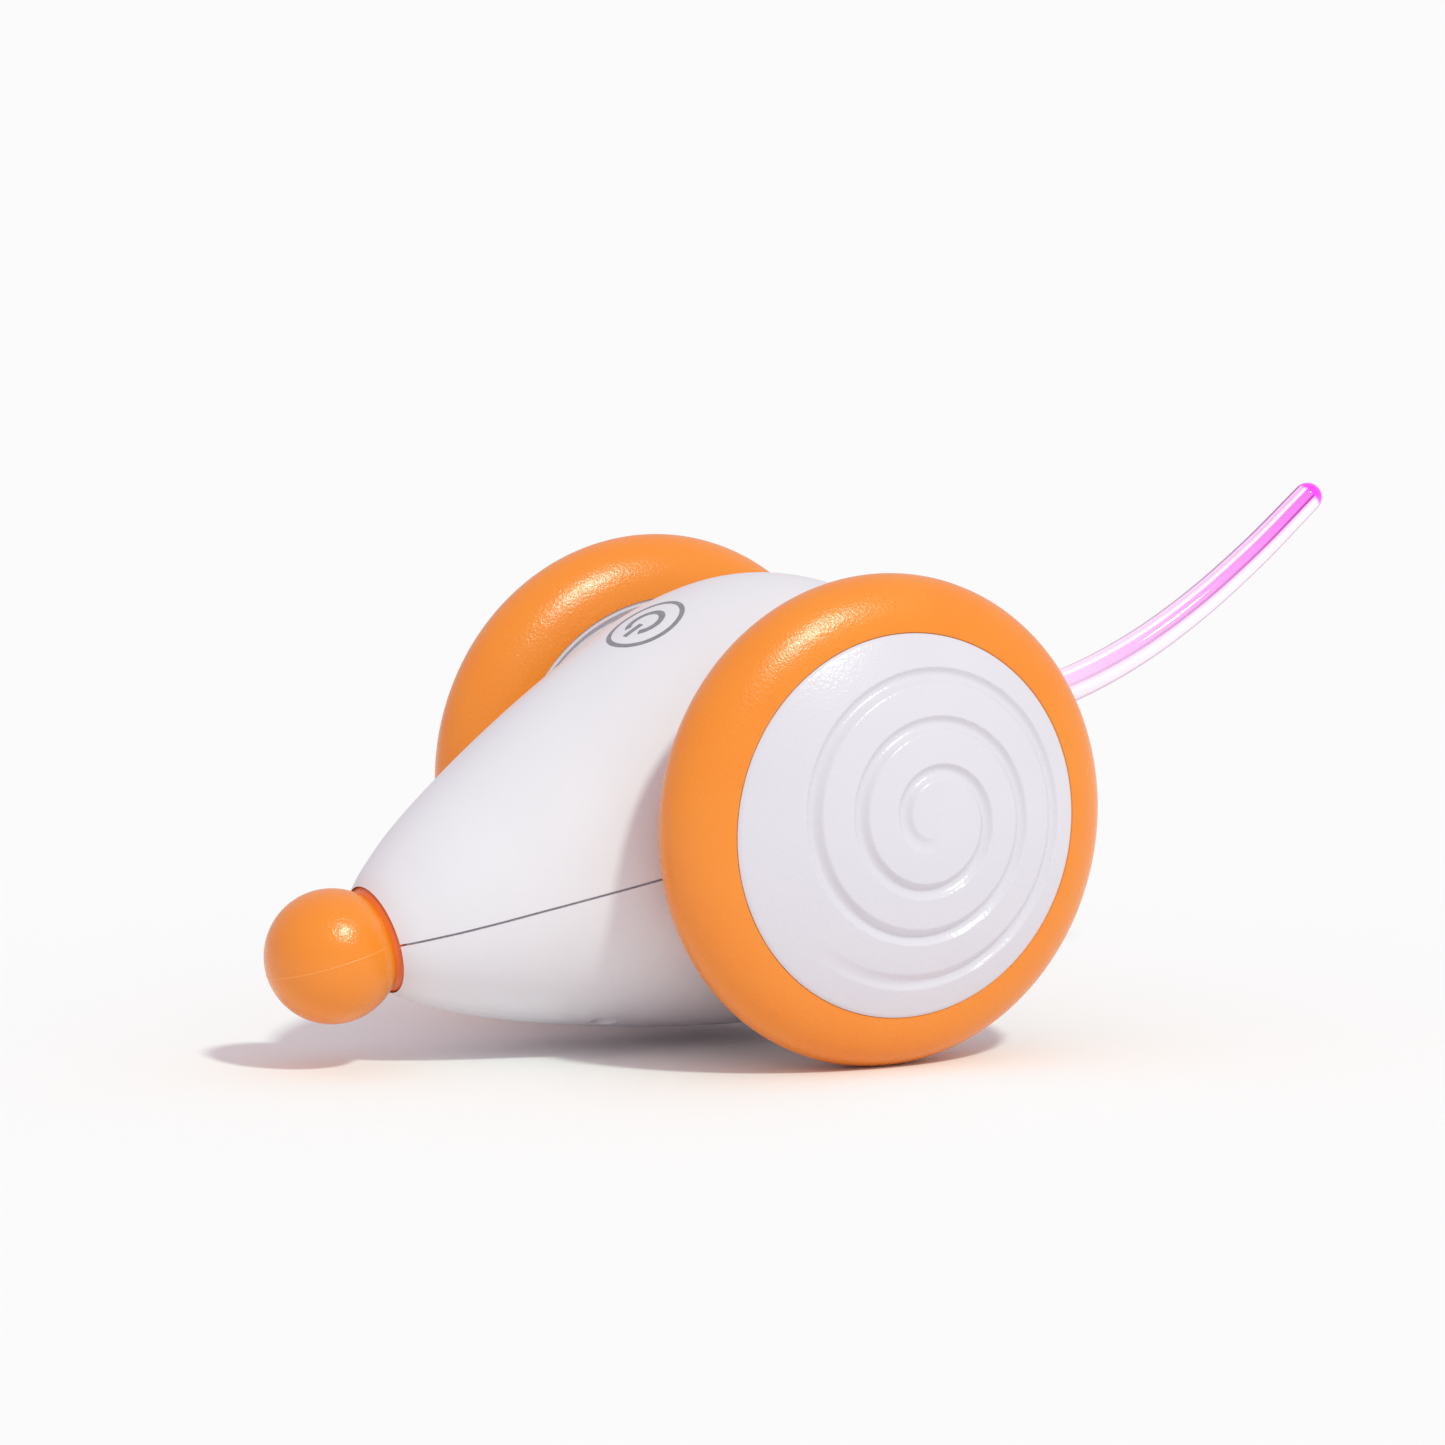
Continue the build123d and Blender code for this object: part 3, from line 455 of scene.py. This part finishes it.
def tyre_outline():
    middle = WHEEL_R_MM - TYRE_HALF_DEPTH_MM
    radii = (TYRE_HALF_DEPTH_MM, TYRE_HALF_WIDTH_MM)
    lip = CAP_R_MM + LIP_GAP_MM
    front = math.degrees(math.acos((lip + 0.15 - middle) / TYRE_HALF_DEPTH_MM))
    back = -math.degrees(math.acos((DISC_R_MM - middle) / TYRE_HALF_DEPTH_MM))
    outline = [(BARREL_R_MM, CAP_SEAT_U_MM), (lip, CAP_SEAT_U_MM), (lip, CAP_EDGE_U_MM - 0.30)]
    outline += arc_points((middle, 0.0), radii, front, back, 73)
    outline += [(DISC_R_MM, DISC_WEB_U_MM), (BARREL_R_MM, DISC_WEB_U_MM)]
    return outline


def make_tyre(name, side, material):
    count = 256
    outline = tyre_outline()
    points = lathe(outline, count, wheel_place(side))
    faces = ring_faces(len(outline), count, True)
    body, stands_for = f"wheel_{name}", [f"tyre_{name}"]
    mesh_piece(f"tyre_skin_{name}", points, faces, material, body, stands_for)


def make_disc(name, side, material):
    """Inner disc: a narrow rim, a recessed web, the barrel that carries the tyre and a hub."""
    back = DISC_FACE_U_MM
    outline = [
        (SHAFT_R_MM, back + 0.3),
        (HUB_R_MM + 1.5, back + 0.3),
        (HUB_R_MM + 2.1, back + DISC_RECESS_MM),
        (DISC_R_MM - DISC_RIM_MM - 0.3, back + DISC_RECESS_MM),
        (DISC_R_MM - DISC_RIM_MM, back + 0.25),
        (DISC_R_MM - DISC_RIM_MM + 0.25, back),
        (DISC_R_MM - 0.2, back),
        (DISC_R_MM, back + 0.2),
        (DISC_R_MM, DISC_WEB_U_MM),
        (BARREL_R_MM, DISC_WEB_U_MM),
        (BARREL_R_MM, BARREL_END_U_MM),
        (BARREL_R_MM - BARREL_WALL_MM, BARREL_END_U_MM),
        (BARREL_R_MM - BARREL_WALL_MM, back + DISC_RECESS_MM + DISC_WEB_MM),
        (HUB_R_MM, back + DISC_RECESS_MM + DISC_WEB_MM),
        (HUB_R_MM, BARREL_END_U_MM),
        (SHAFT_R_MM, BARREL_END_U_MM),
    ]
    count = 192
    points = lathe(outline, count, wheel_place(side))
    faces = ring_faces(len(outline), count, True)
    body, stands_for = f"wheel_{name}", [f"wheel_disc_{name}"]
    mesh_piece(f"disc_skin_{name}", points, faces, material, body, stands_for)


def groove_depth(x, z):
    """Depth of the engraved spiral at a place on the hubcap, in millimetres."""
    dx, dz = x - SPIRAL_CENTRE_MM[0], z - SPIRAL_CENTRE_MM[1]
    r = math.hypot(dx, dz)
    start = math.radians(SPIRAL_FROM_DEG)
    turn = (math.atan2(dz, dx) - start) / (2 * math.pi)
    turn -= math.floor(turn)
    deepest = 0.0
    for whole in range(-1, int(SPIRAL_TURNS) + 2):
        total = turn + whole
        if not -0.2 <= total <= SPIRAL_TURNS + 0.2:
            continue
        off = abs(r - SPIRAL_START_R_MM - SPIRAL_PITCH_MM * total)
        if off >= GROOVE_HALF_MM:
            continue
        starts = min(1.0, max(0.0, total / GROOVE_STARTS_OVER))
        ends = min(1.0, max(0.0, (SPIRAL_TURNS - total) / GROOVE_ENDS_OVER))
        fade = starts * ends
        wall = (1 - (off / GROOVE_HALF_MM) ** 2) ** GROOVE_SHAPE
        deepest = max(deepest, GROOVE_DEPTH_MM * fade * wall)
    return deepest


def make_hubcap(name, side, material):
    """Domed cap with the engraved spiral outside and a plain wall inside."""
    count, rings = 420, 150
    bevel = 0.35
    dome_r = (CAP_R_MM**2 + CAP_RISE_MM**2) / (2 * CAP_RISE_MM)
    dome_u = CAP_EDGE_U_MM + CAP_RISE_MM - dome_r
    place = wheel_place(side)
    radii = [(i / rings) * (CAP_R_MM - bevel) for i in range(1, rings + 1)]
    points = [place(0, 0, dome_u + dome_r - groove_depth(0, 0))]
    for radius in radii:
        for k in range(count):
            angle = 2 * math.pi * k / count
            x, z = radius * math.cos(angle), radius * math.sin(angle)
            u = dome_u + math.sqrt(dome_r**2 - radius**2) - groove_depth(x, z)
            points.append(place(x, z, u))
    edge_u = dome_u + math.sqrt(dome_r**2 - (CAP_R_MM - bevel) ** 2)
    turned = [(CAP_R_MM, edge_u - bevel), (CAP_R_MM, CAP_SEAT_U_MM), (CAP_R_MM - 1.2, CAP_SEAT_U_MM)]
    inner_r = dome_r - CAP_WALL_MM
    for radius in (24.0, 20.0, 15.0, 10.0, 5.0, 1.5):
        turned.append((radius, dome_u + math.sqrt(inner_r**2 - radius**2)))
    points += lathe(turned, count, place)
    points.append(place(0, 0, dome_u + inner_r))
    total_rows = len(radii) + len(turned)
    faces = [tuple(i + 1 for i in f) for f in ring_faces(total_rows, count, False)]
    last_row, last_point = 1 + (total_rows - 1) * count, len(points) - 1
    for k in range(count):
        nxt = (k + 1) % count
        faces.append((0, 1 + k, 1 + nxt))
        faces.append((last_point, last_row + nxt, last_row + k))
    body, stands_for = f"wheel_{name}", [f"hubcap_{name}"]
    mesh_piece(f"hubcap_spiral_{name}", points, faces, material, body, stands_for)


# ---------------------------------------------------------------- body shells
def slimming(s):
    """Share by which the cone is narrower than high at s millimetres ahead of the axle."""
    share = min(1.0, max(0.0, (s - SLIM_FROM_MM) / (SLIM_TO_MM - SLIM_FROM_MM)))
    front = min(1.0, max(0.0, (SLIM_ENDS_MM - s) / SLIM_FADE_MM))
    return SLIM_SHARE * share * share * (3 - 2 * share) * front


def softened(s, y, t):
    """Place on the shell after its seam is made shallow and its mouth is drawn in round the neck."""
    radius = math.hypot(y, t)
    skin = skin_radius(s)
    depth = skin - radius
    in_gap = 0 <= t <= SEAM_GAP_MM + 0.02 and abs(y) < SIDE_FLAT_MM - 1
    if in_gap and SEAM_FLOOR_FROM_MM < depth < SEAM_DEPTH_MM + 0.05:
        grow = (skin - SEAM_SHOWN_MM) / radius
        return s, y * grow, t
    share = min(1.0, max(0.0, (s - LIP_FROM_MM) / (MOUTH_S_MM - LIP_FROM_MM)))
    ease = share * share
    shrink = 1 - LIP_DRAWN_IN_MM * ease * ease / skin if depth < LIP_SKIN_MM else 1.0
    return s + LIP_FORWARD_MM * ease, y * shrink, t * shrink


def make_shell(node_name, material):
    """The solid's own mesh, softened at seam and mouth and slimmed sideways along the nose cone."""
    source = nodes[node_name]
    mesh = source.data.copy()
    for vertex in mesh.vertices:
        place = vertex.co - AXLE
        s, y, t = (place.dot(axis) / MM for axis in (FORWARD, LEFT, UPWARD))
        s, y, t = softened(s, y, t)
        vertex.co = on_body(s, y * (1 - slimming(s)), t)
    dress(f"{node_name}_skin", mesh, material, "body", [node_name], 38.0)


def skin_radius(s):
    """Radius of the teardrop at s millimetres along it."""
    if s <= 0:
        return math.sqrt(max(0.0, REAR_R_MM**2 - s * s))
    x, r, slope = 0.0, REAR_R_MM, 0.0
    for radius, end_deg in SKIN_ARCS_MM:
        end = math.radians(end_deg)
        reach = x + radius * (math.sin(end) - math.sin(slope))
        if s <= reach:
            turn = math.asin((s - x) / radius + math.sin(slope))
            return r - radius * (math.cos(slope) - math.cos(turn))
        r -= radius * (math.cos(slope) - math.cos(end))
        x, slope = reach, end
    return r


def skin_point(s, y, lift):
    """Place on top of the shell at (s, y), lifted off it by a few hundredths."""
    wide = y / (1 - slimming(s))
    return on_body(s, y, math.sqrt(skin_radius(s) ** 2 - wide * wide) + lift)


# ---------------------------------------------------------------- touch ring and its symbol
RING_AT_MM = (12.3, 1.8)
RING_OUT_MM = 5.85
RING_IN_MM = 5.12
SYMBOL_R_MM = 2.55
SYMBOL_HALF_MM = 0.48
INK_THICK_MM = 0.03


def ink_patch(name, across, down, shape, material):
    """Thin printed patch with a top, a foot and walls: shape(a, b), a and b from 0 to 1, gives (s, y)."""
    points = []
    for lift in (INK_THICK_MM, -INK_THICK_MM):
        for i in range(across + 1):
            for j in range(down + 1):
                s, y = shape(i / across, j / down)
                points.append(skin_point(RING_AT_MM[0] + s, RING_AT_MM[1] + y, lift))
    stride = down + 1
    layer = (across + 1) * stride
    faces = []
    for i in range(across):
        for j in range(down):
            corner = i * stride + j
            quad = (corner, corner + stride, corner + stride + 1, corner + 1)
            faces.append(quad)
            faces.append(tuple(layer + q for q in reversed(quad)))
    rim = [i * stride for i in range(across + 1)]
    rim += [across * stride + j for j in range(1, down + 1)]
    rim += [i * stride + down for i in range(across - 1, -1, -1)]
    rim += [j for j in range(down - 1, 0, -1)]
    for a, b in zip(rim, rim[1:] + rim[:1]):
        faces.append((a, b, layer + b, layer + a))
    return mesh_piece(name, points, faces, material, "body", (), 60.0)


def arc_shape(r_in, r_out, start_deg, end_deg):
    def shape(a, b):
        angle = math.radians(start_deg + (end_deg - start_deg) * a)
        radius = r_in + (r_out - r_in) * b
        return radius * math.cos(angle), radius * math.sin(angle)
    return shape


def make_touch_ring(material):
    """Printed ring in two halves, with a plain power symbol in it."""
    half = arc_shape(RING_IN_MM, RING_OUT_MM, 0, 180)
    other = arc_shape(RING_IN_MM, RING_OUT_MM, 180, 360)
    ink_patch("touch_ring_a", 96, 2, half, material)
    ink_patch("touch_ring_b", 96, 2, other, material)
    inner, outer = SYMBOL_R_MM - SYMBOL_HALF_MM, SYMBOL_R_MM + SYMBOL_HALF_MM
    ink_patch("power_mark_arc", 64, 2, arc_shape(inner, outer, 35, 325), material)

    def bar(a, b):
        return 0.6 + 3.0 * a, SYMBOL_HALF_MM * (2 * b - 1)
    ink_patch("power_mark_bar", 12, 2, bar, material)


# ---------------------------------------------------------------- nose
def make_nose(material):
    """Ball and neck in one soft moulding, turned about the body's long axis."""
    join = math.degrees(math.asin(NECK_R_MM / NOSE_R_MM))
    outline = []
    steps = 72
    for i in range(1, steps + 1):
        angle = math.radians((180 - join) * i / steps)
        outline.append((NOSE_R_MM * math.sin(angle), NOSE_S_MM + NOSE_R_MM * math.cos(angle)))
    mouth = MOUTH_S_MM + LIP_FORWARD_MM
    outline += [(NECK_R_MM - 0.05, mouth + 0.7), (NECK_R_MM + 0.1, mouth + 0.3)]
    outline += [(NECK_FLARE_R_MM, mouth - 0.2), (NECK_FLARE_R_MM, NECK_BACK_MM), (0.5, NECK_BACK_MM)]
    count = 160
    points = [on_body(NOSE_S_MM + NOSE_R_MM, 0, 0)]
    points += lathe(outline, count, lambda y, t, s: on_body(s, y, t))
    faces = [tuple(i + 1 for i in f) for f in ring_faces(len(outline), count, False)]
    faces += [(0, 1 + (k + 1) % count, 1 + k) for k in range(count)]
    last = 1 + (len(outline) - 1) * count
    faces.append(tuple(last + k for k in range(count)))
    mesh_piece("nose_skin", points, faces, material, "body", ["nose_ball"])


MOULD_LINE_ROLL_DEG = 5.0
MOULD_LINE_R_MM = 0.16
MOULD_LINE_SUNK_MM = 0.10
MOULD_LINE_HALF_DEG = 142


def make_mould_line(material):
    """Fine raised witness line round the nose, rolled a little about the body's axis."""
    roll = math.radians(MOULD_LINE_ROLL_DEG)
    points = []
    count, section = 200, 10
    for i in range(count):
        angle = math.radians(-MOULD_LINE_HALF_DEG + 2 * MOULD_LINE_HALF_DEG * i / (count - 1))
        fade = min(1.0, 8 * min(i, count - 1 - i) / count) * 0.8 + 0.2
        for k in range(section):
            turn = 2 * math.pi * k / section
            radius = NOSE_R_MM - MOULD_LINE_SUNK_MM + MOULD_LINE_R_MM * fade * math.cos(turn)
            rise = MOULD_LINE_R_MM * fade * math.sin(turn)
            s = NOSE_S_MM + radius * math.cos(angle)
            y = radius * math.sin(angle)
            points.append(on_body(s, y * math.cos(roll) - rise * math.sin(roll), y * math.sin(roll) + rise))
    faces = ring_faces(count, section, False)
    faces.append(tuple(range(section)))
    faces.append(tuple((count - 1) * section + k for k in reversed(range(section))))
    mesh_piece("nose_mould_line", points, faces, material, "body", (), 50.0)


# ---------------------------------------------------------------- tail
def smooth_line(stations, count):
    """Evenly spread points on a Catmull-Rom line through the stations, each with its direction."""
    padded = [stations[0] * 2 - stations[1]] + stations + [stations[-1] * 2 - stations[-2]]
    dense = []
    for i in range(1, len(padded) - 2):
        a, b, c, d = padded[i - 1 : i + 3]
        for k in range(40):
            u = k / 40
            square, cube = 2 * a - 5 * b + 4 * c - d, 3 * b - a - 3 * c + d
            dense.append(0.5 * (2 * b + (c - a) * u + square * u**2 + cube * u**3))
    dense.append(stations[-1])
    lengths = [0.0]
    for p, q in zip(dense, dense[1:]):
        lengths.append(lengths[-1] + (q - p).length)
    made = []
    for i in range(count):
        want = lengths[-1] * i / (count - 1)
        k = max(1, next(n for n, length in enumerate(lengths) if length >= want - 1e-9))
        share = (want - lengths[k - 1]) / (lengths[k] - lengths[k - 1])
        made.append((dense[k - 1].lerp(dense[k], share), (dense[k] - dense[k - 1]).normalized()))
    return made


def make_tail(material):
    """Bent, tapering rod with a round tip; its uv runs round it in x and along it in y."""
    line = smooth_line([on_body(s, 0, t) for s, t in TAIL_LINE_MM], 120)
    count = 64
    rings = []
    for i, (centre, ahead) in enumerate(line):
        share = i / (len(line) - 1)
        radius = (TAIL_ROOT_R_MM + share * (TAIL_TIP_R_MM - TAIL_ROOT_R_MM)) * MM
        rings.append((centre, ahead, radius, share * TIP_FROM))
    tip, ahead = line[-1]
    steps = 12
    for i in range(1, steps):
        angle = math.radians(90 * i / steps)
        centre = tip + ahead * TAIL_TIP_R_MM * MM * math.sin(angle)
        rings.append((centre, ahead, TAIL_TIP_R_MM * MM * math.cos(angle), TIP_FROM + 0.05 * i / steps))
    points, coords = [], []
    for centre, along, radius, v in rings:
        lift = LEFT.cross(along).normalized() * -1
        for k in range(count):
            angle = 2 * math.pi * k / count
            points.append(centre + (lift * math.cos(angle) + LEFT * math.sin(angle)) * radius)
            coords.append((k / count, v))
    points.append(tip + ahead * TAIL_TIP_R_MM * MM)
    coords.append((0.0, 1.0))
    faces = ring_faces(len(rings), count, False)
    end = (len(rings) - 1) * count
    faces += [(end + k, end + (k + 1) % count, len(points) - 1) for k in range(count)]
    faces.append(tuple(reversed(range(count))))
    piece = mesh_piece("tail_skin", points, faces, material, "body", ["tail"], 60.0)
    layer = piece.data.uv_layers.new(name="along")
    for polygon in piece.data.polygons:
        around = [coords[piece.data.loops[i].vertex_index][0] for i in polygon.loop_indices]
        wraps = max(around) - min(around) > 0.5
        for i in polygon.loop_indices:
            u, v = coords[piece.data.loops[i].vertex_index]
            layer.data[i].uv = (u + 1.0 if wraps and u < 0.5 else u, v)


# ---------------------------------------------------------------- CAD nodes that stay
PLASTICS = {  # colour, drift, roughness, grain to the metre, grain height
    "soft_white": ((0.74, 0.72, 0.76), (-0.02, -0.02, -0.02), 0.6, 1500.0, 0.00003),
    "led": ((0.95, 0.30, 0.88), (0.0, 0.05, 0.0), 0.2, 1500.0, 0.000005),
    "inner_plastic": ((0.03, 0.03, 0.034), (0.01, 0.01, 0.01), 0.55, 1500.0, 0.00003),
    "gear_plastic": ((0.78, 0.76, 0.70), (-0.03, -0.03, -0.03), 0.45, 1500.0, 0.00001),
    "board_green": ((0.015, 0.12, 0.04), (0.005, 0.03, 0.01), 0.4, 900.0, 0.00001),
}
METALS = {  # colour, roughness
    "cell_foil": ((0.70, 0.71, 0.73), 0.35),
    "motor_can": ((0.66, 0.66, 0.68), 0.28),
    "steel": ((0.60, 0.60, 0.62), 0.30),
    "brass": ((0.78, 0.57, 0.24), 0.30),
}


def dress_cad(made):
    """Gives every CAD node that stays the material of its slot."""
    slots = {s["node"]: s["material_slot"] for s in record["subparts"]}
    for name, obj in nodes.items():
        obj.data.materials.clear()
        obj.data.materials.append(made[slots[name]])


def main():
    make_camera()
    make_light()
    make_floor()
    shell, cap, ink = shell_plastic(), cap_plastic(), print_ink()
    rubber = orange_rubber("orange_rubber", ORANGE)
    made = {"shell_white": shell, "orange_rubber": rubber, "clear_tail": tail_clear()}
    made.update({name: moulded(name, *look)[0] for name, look in PLASTICS.items()})
    made.update({name: metal(name, *look) for name, look in METALS.items()})
    dress_cad(made)
    for name, side in SIDES.items():
        make_tyre(name, side, rubber)
        make_disc(name, side, shell)
        make_hubcap(name, side, cap)
    make_shell("upper_shell", shell)
    make_shell("lower_shell", shell)
    make_nose(nose_rubber())
    # the mould line gets the lighter orange as a painted highlight
    make_mould_line(orange_rubber("bead_highlight_rubber", BEAD_HIGHLIGHT_ORANGE))
    make_tail(made["clear_tail"])
    make_touch_ring(ink)


main()
